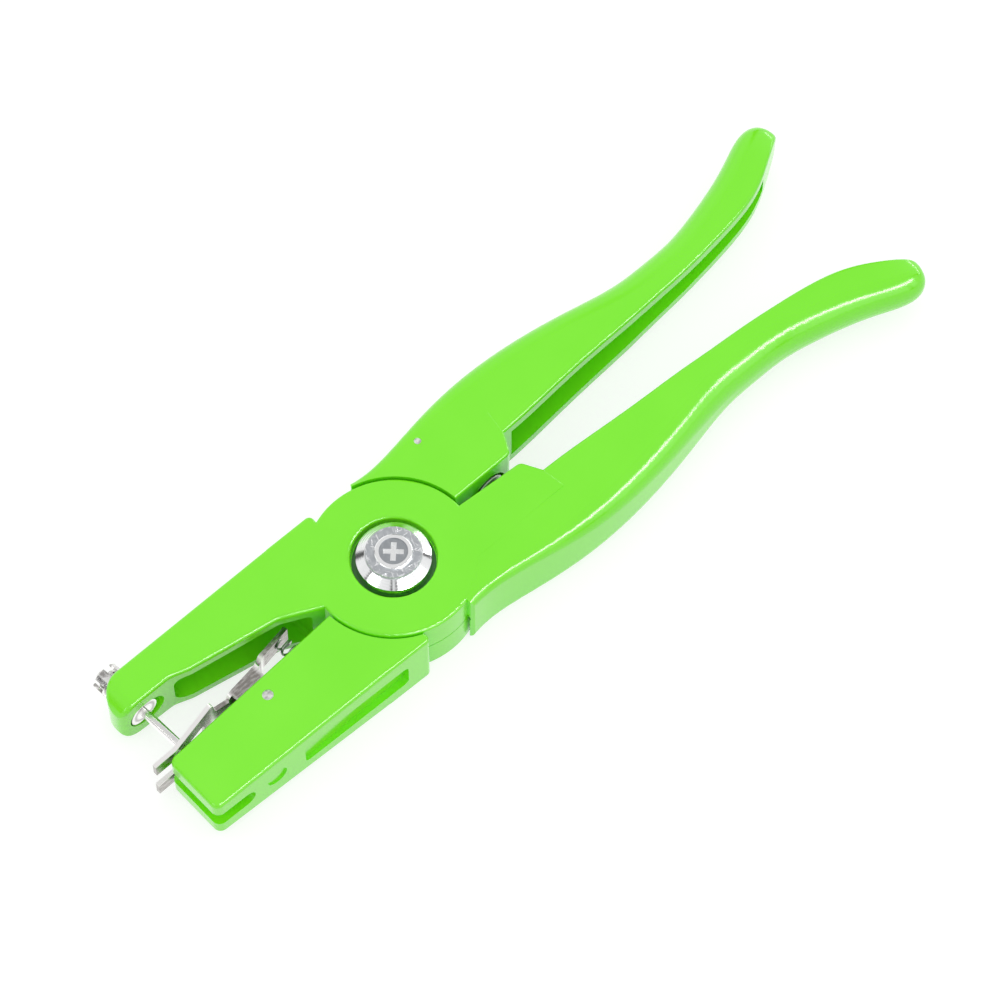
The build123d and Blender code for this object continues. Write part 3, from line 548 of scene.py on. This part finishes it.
# %% [markdown]
# ## The room
#
# The world is a white dome, brighter overhead, that gives all the light on the colours. Gloss sees
# another room: white screens all round, with dark gaps between them, under a greyer ceiling. Bright
# metal is only as good as what it mirrors, and the gaps are what put dark spokes on the cap. Each
# gap is a compass direction and its reach to each side, in degrees, so it is a band of the angle
# that ARCTAN2 finds.

# %% White dome for the colours, screens with dark gaps for gloss
LOW_LIGHT, HIGH_LIGHT = 0.34, 0.95
GAPS = ((-135, 9), (-69, 8), (-22, 6), (41, 4), (53, 4), (105, 6), (164, 6))
GAP_DARK, GAP_EDGE = 0.92, 1.8
CEILING_FROM, CEILING_FULL, CEILING_LIGHT = 0.55, 0.85, 0.74
world = bpy.data.worlds.new("white_dome")
bpy.context.scene.world = world
world.use_nodes = True
sky = world.node_tree
way = Wire(sky.nodes.new("ShaderNodeTexCoord").outputs["Generated"])
compass = way.node("ShaderNodeMath", {"operation": "ARCTAN2"}, {0: way.axis(1), 1: way.axis(0)})
dark = sum(band(compass, radians(middle), radians(reach)) for middle, reach in GAPS)
screens = 1.0 - GAP_DARK * (dark * GAP_EDGE).clamp()
ceiling = way.axis(2).ramp((CEILING_FROM, 0.0), (CEILING_FULL, 1.0))
room = screens * (1.0 - ceiling) + CEILING_LIGHT * ceiling
dome = LOW_LIGHT + HIGH_LIGHT * way.axis(2).clamp()
eye, gloss, through = ray_kinds(sky)
strength = dome * (1.0 - (eye + gloss + through)) + eye + through + gloss * room
sky.links.new(strength.socket, sky.nodes["Background"].inputs["Strength"])
sky.nodes["Background"].inputs["Color"].default_value = (1, 1, 1, 1)
print("room with", len(GAPS), "dark gaps")

# %% [markdown]
# ## Highlights
#
# A narrow light tube and a mild box right of the camera, a low tube behind the tool and a mild box
# on the left are seen by gloss alone. They draw the band along the round handle and the white lines
# on the edges, and leave the colours to the dome. The tubes are narrow, because a flat top that
# mirrors a tall bright box loses its colour from every low side.

# %% Light tubes and mild boxes
def soft_box(name, place, wide, tall, radiance):
    """A light panel that faces the middle of the tool and shows in gloss alone."""
    clear_selection()
    bpy.ops.object.light_add(type="AREA", location=place)
    lamp = bpy.context.object
    lamp.name = name
    lamp.rotation_euler = (-Vector(place)).to_track_quat("-Z", "Y").to_euler()
    lamp.data.shape = "RECTANGLE"
    lamp.data.size = wide
    lamp.data.size_y = tall
    lamp.data.energy = radiance * pi * wide * tall
    lamp.visible_diffuse = False
    print(name, round(lamp.data.energy, 2), "watts")


soft_box("right_box", (-0.25, 1.15, 0.62), wide=1.6, tall=0.9, radiance=0.9)
soft_box("right_tube", (-0.22, 0.92, 0.95), wide=1.6, tall=0.24, radiance=15.0)
soft_box("left_box", (1.15, -0.1, 0.75), wide=0.5, tall=0.4, radiance=3.0)
soft_box("far_tube", (-1.25, -0.1, 0.23), wide=0.9, tall=0.07, radiance=10.0)

# %% [markdown]
# ## Camera
#
# The camera stands over a metre off with a long lens, as for a catalogue, so the tool hardly narrows
# towards the far end. Three directions of length 1 say how it is turned: to its right, up, and back
# from the tool. They are the columns of a turning matrix, and its place is in metres.

# %% Camera at the photograph's angle
CAMERA_PLACE = (0.3250, 0.3902, 1.0555)
CAMERA_RIGHT = (-0.73373, 0.67944, 0.0)
CAMERA_UP = (-0.60646, -0.65492, 0.45088)
CAMERA_BACK = (0.30634, 0.33083, 0.89259)
lens = bpy.data.cameras.new("camera")
lens.lens = 165.6
lens.sensor_width = 36.0
lens.clip_start = 0.01
camera = bpy.data.objects.new("camera", lens)
bpy.context.scene.collection.objects.link(camera)
turn = Matrix((CAMERA_RIGHT, CAMERA_UP, CAMERA_BACK)).transposed().to_4x4()
camera.matrix_world = Matrix.Translation(CAMERA_PLACE) @ turn
bpy.context.scene.camera = camera
bpy.context.scene.view_settings.view_transform = "Standard"
print("camera", round(Vector(CAMERA_PLACE).length, 2), "metres from the pivot")
